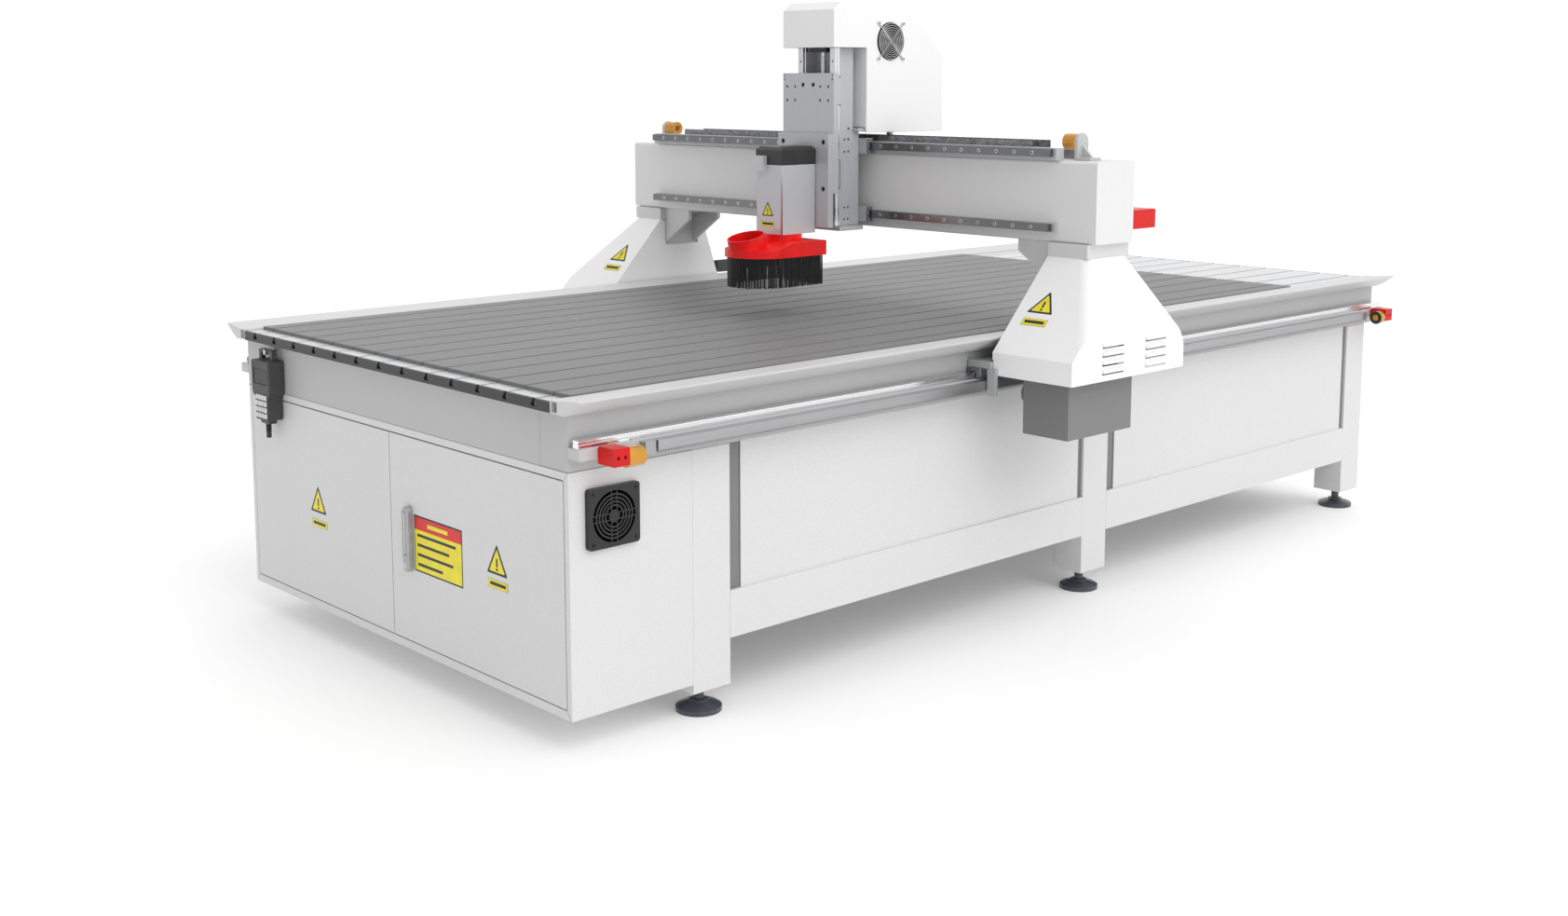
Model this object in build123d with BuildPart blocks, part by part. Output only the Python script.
from build123d import *
import os
from math import cos, sin, radians

# A gantry CNC router with a T-slot table: a front electrical cabinet, a welded bed on six levelling
# feet, and a gantry that travels along the bed and carries the spindle.
# Millimetres. +X is the machine's right side, +Y its back, +Z up. The origin is on the floor, in the
# middle of the machine's footprint.

os.makedirs("parts", exist_ok=True)

# ---- Driving dimensions ----
front = -1628            # door face
back = front + 3292      # back of the bed frame
table_back = front + 3303
table_front = front - 21
body_half = 719          # half the width over the legs
leg_width = 98
leg_depth = 110
leg_foot = 59            # underside of the legs
cabinet_low = 82
cabinet_depth = 334
bed_low = 619            # underside of the bed's side beams
bed_top = 744
table_top = 767
mat_top = 775
slot_pitch = 105
slot_count = 13
table_half = 689

ledge_out = 760          # outer face of the rail ledges
ledge_low = 649
ledge_top = 673
rail_width = 20
rail_height = 17.5
y_rail_x = 742           # centre line of the Y rails
rack_out = 784
rack_low = 645
rack_top = 672
pinion_radius = 26.7
running_gap = 0.3
block_length = 75
block_width = 44
block_height = 30        # from the rail's base to the block's top
block_lift = 4.6         # clearance under a block

beam_front = front + 1480
beam_back = front + 1637
beam_low = 1009
beam_high = 1218
beam_half = 936
seat_depth = 12          # thickness of the strips under the X rails
x_rail_half = 805
upper_rail_z = 1238
lower_rail_z = 1047

cover_in = 793
cover_out = 1042
cover_front = front + 1257
cover_back = front + 1723
cover_low = 687
skirt_top = 745
side_top = 804
neck_low = 973
neck_out = 919
neck_front = front + 1470
neck_back = front + 1645

head_x = 64              # centre of the Z column and the spindle
column_half = 74
column_front = front + 1361
carriage_front = front + 1415
carriage_back = front + 1438
column_low = 1016
column_high = 1511
plate_half = 102         # half the width of the slide plate
slide_front = front + 1311
slide_back = front + 1331
mount_front = front + 1291
screw_y = front + 1371
housing_low = 1275
housing_top = 1635
housing_back = front + 1757
spindle_half = 52.5
spindle_front = front + 1162
spindle_low = 1001
spindle_high = 1191
spindle_y = front + 1214
hood_radius = 100
hood_centre = front + 1133
hood_back = front + 1287
hood_low = 943
hood_high = 983
brush_low = 860

both = (-1, 1)


# ---- Helpers ----
def block(x, y, z, mode=Mode.ADD):
    """A box between two values on each axis, given as (low, high) pairs."""
    with Locations(((x[0] + x[1]) / 2, (y[0] + y[1]) / 2, (z[0] + z[1]) / 2)):
        Box(x[1] - x[0], y[1] - y[0], z[1] - z[0], mode=mode)


def span(side, low, high):
    """The (low, high) pair of a range measured outwards from the centre line, on one side."""
    return (side * high, side * low) if side < 0 else (side * low, side * high)


def rod(radius, centre, length, axis="z", mode=Mode.ADD):
    """A cylinder centred on a point, along one of the three axes."""
    turn = {"x": (0, 90, 0), "y": (90, 0, 0), "z": (0, 0, 0)}[axis]
    with Locations(Location(centre, turn)):
        Cylinder(radius, length, mode=mode)


def outline(plane, points, depth, mode=Mode.ADD):
    """A closed polygon on a plane, extruded along the plane's normal."""
    with BuildSketch(plane) as shape:
        Polygon(*points, align=None)
    extrude(to_extrude=shape.sketch, amount=depth, mode=mode)


def save(builder, name):
    builder.part.label = name
    export_step(builder.part, "parts/" + name + ".step")
    print(name, round(builder.part.volume / 1000), "cm3")


# ---- Feet, legs and bed ----
leg_x = body_half - leg_width / 2
leg_rows = (front + 389, front + 1794, front + 3196)
leg_spots = [(side * leg_x, row) for side in both for row in leg_rows]

with BuildPart() as legs:
    for x, y in leg_spots:
        block(
            (x - leg_width / 2, x + leg_width / 2), (y - leg_depth / 2, y + leg_depth / 2),
            (leg_foot, bed_low),
        )
    for x, y in leg_spots:
        wall = 6
        block(
            (x - leg_width / 2 + wall, x + leg_width / 2 - wall),
            (y - leg_depth / 2 + wall, y + leg_depth / 2 - wall),
            (leg_foot + 12, bed_low - wall),
            mode=Mode.SUBTRACT,
        )
save(legs, "legs")

foot_radius = 53.5
with BuildPart() as levelling_feet:
    for x, y in leg_spots:
        with BuildSketch(Plane.XZ.offset(-y)):
            with BuildLine():
                Polyline(
                    (x, 0), (x + foot_radius, 0), (x + foot_radius, 11), (x + 47, 15),
                    (x + 22, 22), (x + 22, 26), (x + 12, 28), (x + 12, leg_foot), (x, leg_foot), (x, 0),
                )
            make_face()
        revolve(axis=Axis((x, y, 0), (0, 0, 1)))
        with BuildSketch(Plane.XY.offset(leg_foot - 11)):
            with Locations((x, y)):
                RegularPolygon(15, 6)
        extrude(amount=9)
save(levelling_feet, "levelling_feet")

# Two closed box beams carry the table and the rail ledges.
with BuildPart() as bed_side_beams:
    for side in both:
        block(span(side, body_half - leg_width, body_half), (front, back), (bed_low, bed_top))
        block(
            span(side, body_half - leg_width + 6, body_half - 6), (front + 6, back - 6),
            (bed_low + 6, bed_top - 6), mode=Mode.SUBTRACT,
        )
save(bed_side_beams, "bed_side_beams")

cross_low = bed_top - 100
cross_count = 12
cross_rows = [front + 35 + (back - front - 70) * i / (cross_count - 1) for i in range(cross_count)]
with BuildPart() as bed_cross_members:
    for y in cross_rows:
        low = bed_low if y in (cross_rows[0], cross_rows[-1]) else cross_low
        reach = body_half - leg_width
        block((-reach, reach), (y - 35, y + 35), (low, bed_top))
        block((-reach, reach), (y - 30, y + 30), (low + 5, bed_top - 5), mode=Mode.SUBTRACT)
save(bed_cross_members, "bed_cross_members")

rail_spans = [
    (leg_rows[0] + leg_depth / 2, leg_rows[1] - leg_depth / 2),
    (leg_rows[1] + leg_depth / 2, leg_rows[2] - leg_depth / 2),
]
rail_low = 167
rail_high = 278
with BuildPart() as lower_panels:
    for side in both:
        for y in rail_spans:
            block(span(side, body_half - 60, body_half), y, (rail_low, rail_high))
            block(span(side, body_half - 56, body_half - 4), y, (rail_low + 4, rail_high - 4), mode=Mode.SUBTRACT)
    reach = body_half - leg_width
    block((-reach, reach), (leg_rows[2] - 30, leg_rows[2] + 30), (rail_low, rail_high))
    block((-reach, reach), (leg_rows[2] - 26, leg_rows[2] + 26), (rail_low + 4, rail_high - 4), mode=Mode.SUBTRACT)
    # Infill panels stand clear of the legs, so each leg shows a dark slot beside it.
    front_gap = 36
    back_gap = 18
    for side in both:
        for y in rail_spans:
            face = body_half - 5
            block(span(side, face - 3, face), (y[0] + front_gap, y[1] - back_gap), (rail_high, bed_low))
    block((-600, 600), (leg_rows[2] + 26, leg_rows[2] + 29), (rail_high, bed_low))
save(lower_panels, "lower_panels")

# ---- Cabinet ----
fan_y = front + 110
fan_z = 512
fan_bore = 58
door_side = 700
door_low = 105
door_high = 598
with BuildPart() as cabinet_shell:
    cabinet_back = front + cabinet_depth
    block((-body_half, body_half), (front, cabinet_back), (cabinet_low, bed_low))
    block(
        (-body_half + 3, body_half - 3), (front + 25, cabinet_back - 3),
        (cabinet_low + 3, bed_low - 3), mode=Mode.SUBTRACT,
    )
    block(
        (-door_side - 3, door_side + 3), (front, front + 25), (door_low - 3, door_high + 3),
        mode=Mode.SUBTRACT,
    )
    rod(fan_bore, (body_half, fan_y, fan_z), 20, "x", mode=Mode.SUBTRACT)
    for side in both:
        rod(3, (side * (door_side - 3), front + 4, door_low + 1), 8)
        rod(3, (side * (door_side - 3), front + 4, door_high - 1), 8)
save(cabinet_shell, "cabinet_shell")

handle_x = 86
handle_top = 420
skin = 2
door_depth = 18
for side, name in ((-1, "left_door"), (1, "right_door")):
    with BuildPart() as door:
        block(span(side, 1.5, door_side), (front, front + door_depth), (door_low, door_high))
        block(
            span(side, 1.5 + skin, door_side - skin), (front + skin, front + door_depth),
            (door_low + skin, door_high - skin), mode=Mode.SUBTRACT,
        )
        for z in (door_low, door_high):
            rod(3 + running_gap, (side * (door_side - 3), front + 4, z), 12, mode=Mode.SUBTRACT)
        if side > 0:
            rod(6 + running_gap, (handle_x, front, handle_top), 10, "y", mode=Mode.SUBTRACT)
    save(door, name)

# The lever hangs flat against the door. Its cam turns with it and stops just short of the left door.
with BuildPart() as door_handle:
    with BuildSketch(Plane.XZ.offset(-front + 1.5)):
        with Locations((handle_x, 356)):
            SlotOverall(158, 26, rotation=90)
    extrude(amount=15)
    fillet(door_handle.faces().sort_by(Axis.Y)[0].edges(), 5)
    rod(6, (handle_x, front + 9, handle_top), 28, "y")
    block((handle_x - 80, handle_x + 10), (front + 19, front + 23), (handle_top - 10, handle_top + 10))
save(door_handle, "door_handle")

# One node of switchgear: a plate on four studs carries the inverter, the four axis drives and the
# power supply, and the transformer stands on the cabinet floor.
with BuildPart() as cabinet_electronics:
    plate_y = (front + 318, front + 321)
    block((-620, 620), plate_y, (120, 590))
    for x in (-600, 600):
        for z in (140, 570):
            rod(6, (x, front + 326, z), 10, "y")
    block((-560, -380), (front + 178, front + 318), (240, 540))
    for i in range(4):
        block((-300 + 90 * i, -230 + 90 * i), (front + 198, front + 318), (330, 530))
        block((-290 + 90 * i, -240 + 90 * i), (front + 190, front + 198), (350, 400))
    block((160, 360), (front + 268, front + 318), (400, 500))
    block((260, 420), (front + 170, front + 300), (cabinet_low + 3, cabinet_low + 20))
    block((270, 410), (front + 190, front + 280), (cabinet_low + 20, cabinet_low + 150))
    block((290, 390), (front + 172, front + 298), (cabinet_low + 40, cabinet_low + 130))
save(cabinet_electronics, "cabinet_electronics")

def fan_frame(centre):
    """The square frame of an axial fan whose outer face is at centre, reaching inwards along -X."""
    x, y, z = centre
    block((x - 38, x), (y - 60, y + 60), (z - 60, z + 60))
    rod(57, (x - 19, y, z), 38, "x", mode=Mode.SUBTRACT)
    rod(20, (x - 36, y, z), 4, "x")
    for turn in (45, 135):
        with Locations(Location((x - 36, y, z), (turn, 0, 0))):
            Box(4, 118, 5)


def fan_rotor(centre):
    """A hub with seven pitched blades, turning about X in its frame."""
    x, y, z = centre
    rod(21, (x - 18, y, z), 24, "x")
    for i in range(7):
        angle = radians(360 / 7 * i)
        spot = (x - 18, y + 37 * cos(angle), z + 37 * sin(angle))
        with Locations(Location(spot, (360 / 7 * i, 0, 0)) * Location((0, 0, 0), (0, 35, 0))):
            Box(20, 35, 2)


side_fan = (body_half - 3, fan_y, fan_z)

# Side fan: a moulded guard outside, an axial fan behind the wall.
guard_y = 68
guard_z = 66
with BuildPart() as cabinet_fan:
    with BuildSketch(Plane.YZ.offset(body_half)):
        with Locations((fan_y, fan_z)):
            RectangleRounded(2 * guard_y, 2 * guard_z, 8)
            Circle(fan_bore - 2, mode=Mode.SUBTRACT)
            for radius in (48, 40, 32, 24):
                Circle(radius + 1.5)
                Circle(radius - 2.5, mode=Mode.SUBTRACT)
            with GridLocations(0, 14, 1, 2):
                Rectangle(2 * fan_bore - 2, 2.5)
            with GridLocations(14, 0, 2, 1):
                Rectangle(2.5, 2 * fan_bore - 2)
            Circle(14)
    extrude(amount=12)
    with Locations(*[
        Location((body_half + 12, fan_y + sy * 56, fan_z + sz * 54), (0, 90, 0)) for sy in both for sz in both
    ]):
        Hole(4, depth=8)
    fan_frame(side_fan)
save(cabinet_fan, "cabinet_fan")

with BuildPart() as cabinet_fan_rotor:
    fan_rotor(side_fan)
save(cabinet_fan_rotor, "cabinet_fan_rotor")

# ---- Handheld control on its hook ----
pendant_x = -560
pendant_front = front - 46
pendant_back = front - 4
with BuildPart() as pendant_hook:
    block((pendant_x - 12, pendant_x + 12), (front - 3, front), (694, 734))
    block((pendant_x - 6, pendant_x + 6), (front - 31.5, front - 3), (721, 725.7))
    block((pendant_x - 6, pendant_x + 6), (front - 31.5, front - 28.5), (725.7, 733))
save(pendant_hook, "pendant_hook")

key_spots = [(pendant_x + 2 + 15 * (i - 1.5), 587 + 16 * (j - 1.5)) for i in range(4) for j in range(4)]
key_area_x = (pendant_x - 31, pendant_x + 33)
key_area_z = (554, 620)
screen_low = 645
screen_high = 686
with BuildPart() as pendant_body:
    with BuildSketch(Plane.XZ.offset(-pendant_back)):
        Polygon(
            (-608, 706), (-608, 624), (-592, 608), (-592, 551), (-526, 551), (-526, 608), (-512, 624),
            (-512, 706), align=None,
        )
    extrude(amount=pendant_back - pendant_front)
    fillet(pendant_body.edges().filter_by(Axis.Y), 5)
    fillet(pendant_body.faces().sort_by(Axis.Y)[0].edges(), 3)
    block((-597, -519), (pendant_front, pendant_front + 4), (screen_low, screen_high), mode=Mode.SUBTRACT)
    with BuildSketch(Plane.XZ.offset(-pendant_back + 12)):
        with Locations((pendant_x, 717)):
            RectangleRounded(72, 34, 8)
            RectangleRounded(48, 18, 6, mode=Mode.SUBTRACT)
    extrude(amount=12)
    block(key_area_x, (pendant_front, pendant_front + 4), key_area_z, mode=Mode.SUBTRACT)
    block((-583, -539), (front - 36, front - 14), (541, 551))
    rod(6.5, (-564, front - 25, 521.5), 39)
save(pendant_body, "pendant_body")

# The keys stand on one silicone mat, which sits in the recess with a millimetre to give.
with BuildPart() as keypad:
    mat_x = (key_area_x[0] + 0.5, key_area_x[1] - 0.5)
    mat_z = (key_area_z[0] + 0.5, key_area_z[1] - 0.5)
    block(mat_x, (pendant_front + 1, pendant_front + 2.8), mat_z)
    for x, z in key_spots:
        block((x - 5.5, x + 5.5), (pendant_front - 2, pendant_front + 1), (z - 6, z + 6))
save(keypad, "keypad")

# ---- Table ----
slot_xs = [slot_pitch * (i - (slot_count - 1) / 2) for i in range(slot_count)]
plate_thick = 9
groove_low = bed_top + 7     # bottom of the T-slots
lip_low = table_top - 8      # underside of their lips
table_span = (table_front + plate_thick, table_back - plate_thick)

with BuildPart() as table_base:
    block((-table_half, table_half), table_span, (bed_top, groove_low))
save(table_base, "table_base")

# Aluminium ribs stand on the base. Each has a narrow web and a wide top, so T-slots open between them.
rib_edges = [-table_half] + slot_xs + [table_half]
with BuildPart() as slot_ribs:
    for left, right in zip(rib_edges[:-1], rib_edges[1:]):
        web_low = left + (9 if left in slot_xs else 0)
        web_high = right - (9 if right in slot_xs else 0)
        top_low = left + (4.5 if left in slot_xs else 0)
        top_high = right - (4.5 if right in slot_xs else 0)
        block((web_low, web_high), table_span, (groove_low, lip_low))
        block((top_low, top_high), table_span, (lip_low, table_top))
save(slot_ribs, "slot_ribs")

with BuildPart() as end_plates:
    for low_y in (table_front, table_back - plate_thick):
        plate_span = (low_y, low_y + plate_thick)
        block((-table_half, table_half), plate_span, (bed_top, table_top))
        for x in slot_xs:
            block((x - 4.5, x + 4.5), plate_span, (lip_low, table_top), mode=Mode.SUBTRACT)
            block((x - 9, x + 9), plate_span, (groove_low, lip_low), mode=Mode.SUBTRACT)
save(end_plates, "end_plates")

mat_front = front + 32
mat_back = front + 2833
mat_edges = [-table_half + 2] + slot_xs + [table_half - 2]
with BuildPart() as table_mats:
    for left, right in zip(mat_edges[:-1], mat_edges[1:]):
        low = left + (4 if left in slot_xs else 0)
        high = right - (4 if right in slot_xs else 0)
        block((low, high), (mat_front, mat_back), (table_top, mat_top))
save(table_mats, "table_mats")

# Each side ends in an open square tube with a sloping wing of bent sheet that keeps chips off the rail.
edge_out = table_half + 27
wing = [(edge_out, 772), (edge_out, 744), (body_half, 744), (733, 742), (757, 754), (787, 776), (788, 780)]
with BuildPart() as rail_guards:
    for side in both:
        block(span(side, table_half, edge_out), (table_front, table_back), (bed_top, 772))
        block(
            span(side, table_half + 3, edge_out - 3), (table_front, table_back), (bed_top + 3, 769),
            mode=Mode.SUBTRACT,
        )
        outline(Plane.XZ.offset(-table_front), [(side * x, z) for x, z in wing], table_front - table_back)
save(rail_guards, "rail_guards")

# ---- Y rails, racks and stops ----
with BuildPart() as rail_ledges:
    for side in both:
        block(span(side, body_half, ledge_out), (front, back), (ledge_low, ledge_top))
save(rail_ledges, "rail_ledges")


def rail_profile(half, height):
    """A guide rail's section: a flat base, a waist and a wider head."""
    waist = half - 2
    return [
        (-half, 0), (half, 0), (half, 7), (waist, 9), (waist, 12), (half, 14), (half, height),
        (-half, height), (-half, 14), (-waist, 12), (-waist, 9), (-half, 7),
    ]


rail_half = rail_width / 2
with BuildPart() as y_rails:
    for side in both:
        points = [(side * y_rail_x + x, ledge_top + z) for x, z in rail_profile(rail_half, rail_height)]
        outline(Plane.XZ.offset(-front - 4), points, front + 8 - back)
save(y_rails, "y_rails")

rack_front = front + 188
rack_back = front + 3118
with BuildPart() as y_racks:
    for side in both:
        block(span(side, ledge_out, rack_out), (rack_front, rack_back), (rack_low, rack_top))
        for low_y in (front + 156, front + 3120):
            block(span(side, ledge_out, rack_out - 4), (low_y, low_y + 30), (rack_low, rack_top))
save(y_racks, "y_racks")

stop_out = 816
stop_low = 639
stop_high = 677
buffer_x = 795
buffer_z = 651
buffer_radius = 21
front_buffer_long = 45
rear_buffer_long = 28
with BuildPart() as stop_blocks:
    for side in both:
        for low_y in (front + 46, front + 3208):
            block(span(side, ledge_out, stop_out), (low_y, low_y + 42), (stop_low, 672))
            block(span(side, ledge_out + 3, stop_out), (low_y, low_y + 42), (672, stop_high))
    with Locations(*[
        Location((side * stop_out, low_y + step, 657), (0, side * 90, 0))
        for side in both for low_y in (front + 46, front + 3208) for step in (12, 30)
    ]):
        Hole(4, depth=30)
save(stop_blocks, "stop_blocks")

front_tip = front + 88 + front_buffer_long
rear_tip = front + 3208 - rear_buffer_long
with BuildPart() as y_buffers:
    for side in both:
        for tip, long in ((front_tip, -front_buffer_long), (rear_tip, rear_buffer_long)):
            rod(buffer_radius, (side * buffer_x, tip + long / 2, buffer_z), abs(long), "y")
    for side in both:
        for tip in (front_tip, rear_tip):
            rod(10, (side * buffer_x, tip, buffer_z), 30, "y", mode=Mode.SUBTRACT)
save(y_buffers, "y_buffers")

# ---- Gantry ----
with BuildPart() as gantry_beam:
    block((-beam_half, beam_half), (beam_front, beam_back), (beam_low, beam_high))
    fillet(gantry_beam.edges().filter_by(Axis.X), 8)
    block(
        (-beam_half + 8, beam_half - 8), (beam_front + 8, beam_back - 8), (beam_low + 8, beam_high - 8),
        mode=Mode.SUBTRACT,
    )
save(gantry_beam, "gantry_beam")

seat_front = beam_front - seat_depth
with BuildPart() as rail_seats:
    seat_half = x_rail_half + 10
    block((-seat_half, seat_half), (seat_front, beam_front), (lower_rail_z - 11, lower_rail_z + 11))
    block((-seat_half, seat_half), (seat_front, beam_front + 20), (beam_high, upper_rail_z + 12))
save(rail_seats, "rail_seats")

with BuildPart() as x_rails:
    for z in (upper_rail_z, lower_rail_z):
        points = [(seat_front - out, z + across) for across, out in rail_profile(rail_half, rail_height)]
        outline(Plane.YZ.offset(-x_rail_half), points, 2 * x_rail_half)
save(x_rails, "x_rails")

x_rack_front = front + 1590
x_rack_back = front + 1615
with BuildPart() as x_rack:
    block((-800, 800), (x_rack_front, x_rack_back), (beam_high, beam_high + 25))
save(x_rack, "x_rack")

with BuildPart() as cable_tray:
    tray = (front + 1503, front + 1583)
    block((-706, 706), tray, (beam_high, 1266))
    block((-706, 706), (tray[0] + 2, tray[1] - 2), (beam_high + 2, 1266), mode=Mode.SUBTRACT)
save(cable_tray, "cable_tray")

x_buffer_y = front + 1543
x_buffer_z = 1265
x_tip = 790
with BuildPart() as x_stops:
    for side in both:
        face = x_tip + 42
        rod(21, (side * (x_tip + 21), x_buffer_y, x_buffer_z), 42, "x")
        block(span(side, face, face + 10), (x_buffer_y - 23, x_buffer_y + 23), (beam_high, x_buffer_z))
        rod(23, (side * (face + 5), x_buffer_y, x_buffer_z), 10, "x")
        block(span(side, face + 10, face + 50), (x_buffer_y - 23, x_buffer_y + 23), (beam_high, beam_high + 8))
        outline(
            Plane.XZ.offset(-x_buffer_y - 4),
            [(side * (face + 10), 1226), (side * (face + 42), 1226), (side * (face + 10), 1258)], 8,
        )
    for side in both:
        rod(10, (side * x_tip, x_buffer_y, x_buffer_z), 40, "x", mode=Mode.SUBTRACT)
save(x_stops, "x_stops")

foot_front = front + 1245
foot_back = front + 1735
pad_low = ledge_top + block_height
pad_top = pad_low + 18
with BuildPart() as gantry_foot_plates:
    for side in both:
        block(span(side, y_rail_x - 20, cover_in + 4), (foot_front, foot_back), (pad_low, pad_top))
        block(span(side, cover_in + 4, neck_out - 8), (cover_front + 8, cover_back - 8), (pad_low, pad_top))
save(gantry_foot_plates, "gantry_foot_plates")

with BuildPart() as gantry_legs:
    for side in both:
        block(span(side, cover_in + 7, neck_out - 18), (beam_front, beam_back), (pad_top, neck_low))
        block(
            span(side, cover_in + 15, neck_out - 26), (beam_front + 8, beam_back - 8),
            (pad_top, neck_low), mode=Mode.SUBTRACT,
        )
        block(span(side, cover_in, neck_out), (neck_front, neck_back), (neck_low, beam_low))
save(gantry_legs, "gantry_legs")

gusset_tip = 676
gusset = [
    (cover_in, beam_low), (gusset_tip, beam_low), (gusset_tip, 978), (cover_in, 900), (cover_in + 7, 896),
    (cover_in + 7, neck_low), (cover_in, neck_low),
]
with BuildPart() as gantry_gussets:
    for side in both:
        for y in (beam_front + 12, beam_back - 24):
            outline(Plane.XZ.offset(-y), [(side * x, z) for x, z in gusset], -12)
        block(span(side, gusset_tip, cover_in), (beam_front + 12, beam_back - 12), (beam_low - 8, beam_low))
save(gantry_gussets, "gantry_gussets")

# The plates that meet the end buffers hang from the foot plates.
with BuildPart() as buffer_strikers:
    for side in both:
        for y in (foot_front, foot_back - 12):
            block(span(side, 786, 812), (y, y + 12), (634, pad_low))
save(buffer_strikers, "buffer_strikers")


def block_solid(centre, long_axis):
    """A guide block around a rail: centre is the middle of the rail's base under the block."""
    x, y, z = centre
    half = block_width / 2
    if long_axis == "y":
        block(
            (x - half, x + half), (y - block_length / 2, y + block_length / 2),
            (z + block_lift, z + block_height),
        )
        block(
            (x - rail_half - 0.5, x + rail_half + 0.5), (y - block_length / 2, y + block_length / 2),
            (z, z + rail_height + 0.6), mode=Mode.SUBTRACT,
        )
    if long_axis == "x":
        block(
            (x - block_length / 2, x + block_length / 2), (y - block_height, y - block_lift),
            (z - half, z + half),
        )
        block(
            (x - block_length / 2, x + block_length / 2), (y - rail_height - 0.6, y),
            (z - rail_half - 0.5, z + rail_half + 0.5), mode=Mode.SUBTRACT,
        )
    if long_axis == "z":
        block(
            (x - half, x + half), (y - block_height, y - block_lift),
            (z - block_length / 2, z + block_length / 2),
        )
        block(
            (x - rail_half - 0.5, x + rail_half + 0.5), (y - rail_height - 0.6, y),
            (z - block_length / 2, z + block_length / 2), mode=Mode.SUBTRACT,
        )


with BuildPart() as y_bearing_blocks:
    for side in both:
        for y in (foot_front + block_length / 2, foot_back - block_length / 2):
            block_solid((side * y_rail_x, y, ledge_top), "y")
save(y_bearing_blocks, "y_bearing_blocks")


def cover_solid(side, inset, low):
    """The cover's outer form, drawn in by inset: a side view cut by a front view."""
    in_x = cover_in + inset
    out_x = cover_out - inset
    side_view = [
        (cover_front + inset, low), (cover_back - inset, low), (cover_back - inset, skirt_top),
        (neck_back - inset, neck_low - inset), (neck_front + inset, neck_low - inset),
        (cover_front + inset, skirt_top),
    ]
    front_view = [
        (side * in_x, low), (side * out_x, low), (side * out_x, side_top),
        (side * (neck_out - inset), neck_low - inset), (side * in_x, neck_low - inset),
    ]
    with BuildPart(mode=Mode.PRIVATE) as form:
        outline(Plane.YZ.offset(min(side * in_x, side * out_x)), side_view, out_x - in_x)
        outline(Plane.XZ.offset(-cover_front), front_view, cover_front - cover_back, mode=Mode.INTERSECT)
        slopes = form.edges().filter_by(lambda e: side * e.center().X > neck_out + 5 and 830 < e.center().Z < 960)
        fillet(slopes, 34 - inset)
    return form.part


louvre_rows = [772 - 22 * i for i in range(4)]
louvre_starts = (front + 1378, front + 1556)
with BuildPart() as gantry_covers:
    for side in both:
        add(cover_solid(side, 0, cover_low))
    for side in both:
        add(cover_solid(side, 3, cover_low - 10), mode=Mode.SUBTRACT)
        inner_edge = span(side, cover_in - 1, cover_in + 4)
        block(inner_edge, (foot_front, foot_back), (cover_low, pad_top + 4), mode=Mode.SUBTRACT)
        block(inner_edge, (beam_front + 10, beam_back - 10), (890, neck_low), mode=Mode.SUBTRACT)
        block(
            span(side, cover_in - 1, neck_out - 17), (beam_front - 1, beam_back + 1), (neck_low - 4, neck_low),
            mode=Mode.SUBTRACT,
        )
        for y in louvre_starts:
            for z in louvre_rows:
                block(span(side, cover_out - 4, cover_out), (y, y + 88), (z - 4, z + 2), mode=Mode.SUBTRACT)
save(gantry_covers, "gantry_covers")

# ---- Y drives ----
motor_y = front + 1431
motor_z = rack_low - running_gap - pinion_radius
box_in = 858
box_out = 1000
box_low = 541
with BuildPart() as y_motors:
    for side in both:
        block(span(side, box_in, box_out), (front + 1301, front + 1561), (box_low, pad_low))
    for side in both:
        block(span(side, box_in + 3, box_out - 3), (front + 1304, front + 1558), (box_low + 3, pad_low),
              mode=Mode.SUBTRACT)
        rod(24, (side * box_in, motor_y, motor_z), 20, "x", mode=Mode.SUBTRACT)
    for side in both:
        block(span(side, box_in + 4, box_in + 50), (motor_y - 40, motor_y + 40), (motor_z - 40, motor_z + 40))
        rod(38, (side * (box_in + 55), motor_y, motor_z), 10, "x")
        block(span(side, box_in + 60, box_in + 136), (motor_y - 42, motor_y + 42), (motor_z - 42, motor_z + 42))
        for y in (motor_y - 24, motor_y + 24):
            block(span(side, box_in + 10, box_in + 40), (y - 5, y + 5), (motor_z + 40, pad_low))
    for side in both:
        rod(10 + running_gap, (side * (box_in + 4), motor_y, motor_z), 60, "x", mode=Mode.SUBTRACT)
save(y_motors, "y_motors")

for side, name in ((-1, "y_pinion_left"), (1, "y_pinion_right")):
    with BuildPart() as pinion:
        rod(pinion_radius, (side * 774, motor_y, motor_z), 19, "x")
        rod(16, (side * 800, motor_y, motor_z), 40, "x")
        rod(10, (side * 846, motor_y, motor_z), 86, "x")
    save(pinion, name)

# A cable channel trails behind the left cover, and a junction box sits at the beam's right end.
with BuildPart() as gantry_cable_gear:
    block((-838, -800), (cover_back, front + 2050), (782, 818))
    block((-834, -804), (cover_back, front + 2046), (786, 818), mode=Mode.SUBTRACT)
    block((836, 930), (beam_back, front + 1743), (1040, 1089))
save(gantry_cable_gear, "gantry_cable_gear")

# ---- X carriage and Z column ----
left_x = head_x - column_half
right_x = head_x + column_half
block_xs = (head_x - 103 + block_length / 2, head_x + 103 - block_length / 2)
with BuildPart() as carriage_plate:
    block((left_x, right_x), (carriage_front, carriage_back), (column_low, 1278))
save(carriage_plate, "carriage_plate")

with BuildPart() as x_bearing_blocks:
    for x in block_xs:
        for z in (upper_rail_z, lower_rail_z):
            block_solid((x, seat_front, z), "x")
save(x_bearing_blocks, "x_bearing_blocks")

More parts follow.
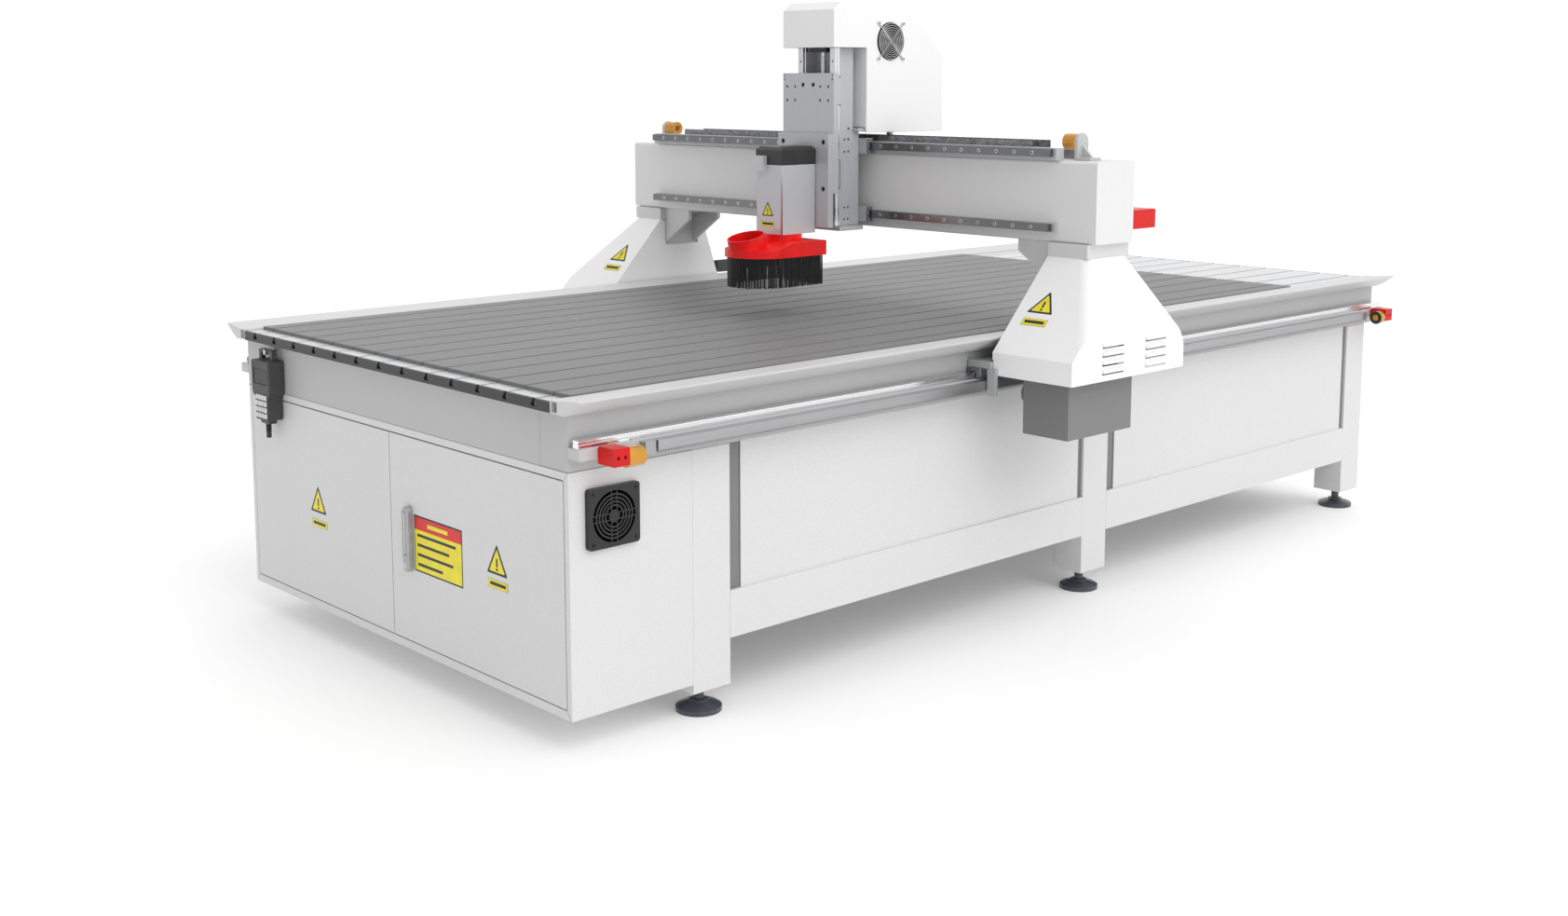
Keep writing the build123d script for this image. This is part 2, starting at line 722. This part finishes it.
flange = 20
bolt_rows = (1287, 1257, 1223, 1067, 1034)
with BuildPart() as z_column:
    block((left_x, right_x), (column_front, carriage_front), (column_low, column_high))
    block((left_x + flange, right_x - flange), (column_front, carriage_front - 14), (column_low, column_high),
          mode=Mode.SUBTRACT)
    with Locations(*[
        Location((head_x + side * column_half, front + 1397, z), (0, side * 90, 0))
        for side in both for z in bolt_rows
    ]):
        Hole(4, depth=12)
save(z_column, "z_column")

with BuildPart() as z_rails:
    for x in (left_x + rail_half, right_x - rail_half):
        points = [(x + across, -(column_front - out)) for across, out in rail_profile(rail_half, rail_height)]
        with BuildSketch(Plane.XY.offset(column_low)):
            Polygon(*[(a, -b) for a, b in points], align=None)
        extrude(amount=column_high - column_low)
save(z_rails, "z_rails")

with BuildPart() as screw_supports:
    with BuildSketch(Plane.XY.offset(column_low - 12)):
        with Locations((head_x, front + 1390)):
            RectangleRounded(198, 94, 8)
    extrude(amount=12)
    for low, high in ((column_low, column_low + 24), (column_high - 12, column_high - 2)):
        block((head_x - 32, head_x + 32), (screw_y - 22, carriage_front - 14), (low, high))
        rod(6 + running_gap, (head_x, screw_y, (low + high) / 2), high - low, mode=Mode.SUBTRACT)
save(screw_supports, "screw_supports")

with BuildPart() as ball_screw:
    rod(8, (head_x, screw_y, (column_low + 25 + column_high - 13) / 2), column_high - column_low - 38)
    rod(6, (head_x, screw_y, (column_low + 2 + column_high + 10) / 2), column_high - column_low + 8)
save(ball_screw, "ball_screw")

x_pinion_y = x_rack_back + running_gap + pinion_radius
with BuildPart() as carriage_motors:
    block((left_x, right_x), (column_front, carriage_front + 24), (column_high, column_high + 8))
    block((head_x - 43, head_x + 43), (screw_y - 35, screw_y + 51), (column_high + 8, column_high + 94))
    rod(6 + running_gap, (head_x, screw_y, column_high + 6), 20, mode=Mode.SUBTRACT)
    block((-30, 158), (carriage_front + 1, front + 1740), (1278, 1288))
    block((head_x - 43, head_x + 43), (x_pinion_y - 43, x_pinion_y + 43), (1288, 1410))
    rod(10 + running_gap, (head_x, x_pinion_y, 1296), 40, mode=Mode.SUBTRACT)
save(carriage_motors, "carriage_motors")

with BuildPart() as x_pinion:
    rod(pinion_radius, (head_x, x_pinion_y, 1231), 20)
    rod(10, (head_x, x_pinion_y, 1264), 86)
save(x_pinion, "x_pinion")

fan_axis_y = front + 1535
fan_axis_z = 1530
with BuildPart() as rear_housing:
    form = [
        (front + 1311, column_high), (front + 1311, 1614), (front + 1336, housing_top),
        (front + 1606, housing_top), (front + 1753, 1492), (housing_back, housing_low),
        (front + 1440, housing_low), (front + 1440, column_high),
    ]
    hollow = [
        (front + 1314, column_high), (front + 1314, 1612), (front + 1338, housing_top - 3),
        (front + 1604, housing_top - 3), (front + 1750, 1490), (housing_back - 3, housing_low),
        (front + 1443, housing_low), (front + 1443, column_high),
    ]
    outline(Plane.YZ.offset(head_x - plate_half), form, 2 * plate_half)
    outline(Plane.YZ.offset(head_x - plate_half + 3), hollow, 2 * plate_half - 6, mode=Mode.SUBTRACT)
    block((-32, 160), (front + 1438, front + 1446), (housing_low, 1290), mode=Mode.SUBTRACT)
    rod(53, (head_x + plate_half, fan_axis_y, fan_axis_z), 20, "x", mode=Mode.SUBTRACT)
save(rear_housing, "rear_housing")

head_fan_at = (head_x + plate_half - 3, fan_axis_y, fan_axis_z)
guard_face = head_x + plate_half + 1.5
with BuildPart() as head_fan:
    fan_frame(head_fan_at)
    for radius in range(8, 55, 6):
        with Locations(Location((guard_face + 3, fan_axis_y, fan_axis_z), (0, 90, 0))):
            Torus(radius, 1.2)
    for turn in (45, -45):
        with Locations(Location((guard_face + 1, fan_axis_y, fan_axis_z), (turn, 0, 0))):
            Box(3, 140, 2.4)
save(head_fan, "head_fan")

with BuildPart() as head_fan_rotor:
    fan_rotor(head_fan_at)
save(head_fan_rotor, "head_fan_rotor")

# ---- Z head: slide plate, spindle and dust hood ----
bolt_columns = (-85, -53, 48, 80)
with BuildPart() as slide_plate:
    block((head_x - plate_half, head_x + plate_half), (slide_front, slide_back), (1110, 1441))
    with Locations(*[
        Location((head_x + x, slide_front, z), (90, 0, 0)) for x in bolt_columns for z in (1404, 1366)
    ]):
        Hole(4, depth=12)
    with Locations(*[Location((head_x + x, slide_front, 1409), (90, 0, 0)) for x in (-21, 20)]):
        Hole(6.5, depth=12)
save(slide_plate, "slide_plate")

with BuildPart() as z_bearing_blocks:
    for x in (left_x + rail_half, right_x - rail_half):
        for z in (1162, 1392):
            block_solid((x, column_front, z), "z")
save(z_bearing_blocks, "z_bearing_blocks")

with BuildPart() as ball_nut:
    block((head_x - 30, head_x + 30), (slide_back, screw_y + 20), (1245, 1285))
    rod(8 + running_gap, (head_x, screw_y, 1265), 60, mode=Mode.SUBTRACT)
save(ball_nut, "ball_nut")

with BuildPart() as spindle_mount:
    block((head_x - plate_half, head_x + plate_half), (mount_front, slide_front), (1016, 1275))
    with Locations(*[
        Location((head_x + side * 81, mount_front, z), (90, 0, 0)) for side in both for z in (1252, 1123)
    ]):
        CounterBoreHole(4.5, 7.5, 8)
save(spindle_mount, "spindle_mount")

with BuildPart() as spindle_body:
    with BuildSketch(Plane.XY.offset(spindle_low)):
        with Locations((head_x, (spindle_front + mount_front) / 2)):
            RectangleRounded(2 * spindle_half, mount_front - spindle_front, 4)
    extrude(amount=spindle_high - spindle_low)
    rod(15.5, (head_x, spindle_y, 1095), 200, mode=Mode.SUBTRACT)
    block((head_x - spindle_half, head_x + spindle_half), (spindle_front, mount_front), (spindle_high, 1241))
    chamfer(spindle_body.faces().sort_by(Axis.Z)[-1].edges(), 9)
    block((16, 56), (spindle_front - 15, spindle_front), (1174, 1216))
save(spindle_body, "spindle_body")

with BuildPart() as spindle_rotor:
    rod(15, (head_x, spindle_y, 1083), 206)
    rod(21, (head_x, spindle_y, 964), 32)
    rod(17, (head_x, spindle_y, 945), 8)
    rod(6, (head_x, spindle_y, 899), 84)
save(spindle_rotor, "spindle_rotor")


def hood_plan(height, inset, depth, mode=Mode.ADD):
    """The hood's plan, extruded upwards: a half circle in front, straight sides and a flat back."""
    radius = hood_radius - inset
    with BuildSketch(Plane.XY.offset(height)) as plan:
        with Locations((head_x, hood_centre)):
            Circle(radius)
        with Locations((head_x, (hood_centre + hood_back - inset) / 2)):
            Rectangle(2 * radius, hood_back - inset - hood_centre)
    extrude(to_extrude=plan.sketch, amount=depth, mode=mode)


# The hose port leans forwards. It stands on a lower deck at the front of the hood.
port_lean = 14
port_at = Location((head_x, front + 1086.5, 960), (port_lean, 0, 0))
deck_high = 964
deck = [
    (front + 1000, deck_high), (front + 1105, deck_high), (front + 1160, hood_high), (front + 1160, 1010),
    (front + 1000, 1010),
]
with BuildPart() as dust_hood:
    hood_plan(hood_low, 0, hood_high - hood_low)
    outline(Plane.YZ.offset(head_x - 120), deck, 240, mode=Mode.SUBTRACT)
    with Locations(port_at * Location((0, 0, 16))):
        Cylinder(52, 50)
    hood_plan(hood_low - 20, 4, 34, mode=Mode.SUBTRACT)
    with Locations(port_at * Location((0, 0, 10))):
        Cylinder(48.5, 90, mode=Mode.SUBTRACT)
    rod(54, (head_x, spindle_y, 992), 18)
    rod(32, (head_x, spindle_y, 985), 60, mode=Mode.SUBTRACT)
save(dust_hood, "dust_hood")

with BuildPart() as brush_skirt:
    hood_plan(brush_low, 6, hood_low + 4 - brush_low)
    hood_plan(brush_low, 14, hood_low + 4 - brush_low, mode=Mode.SUBTRACT)
save(brush_skirt, "brush_skirt")
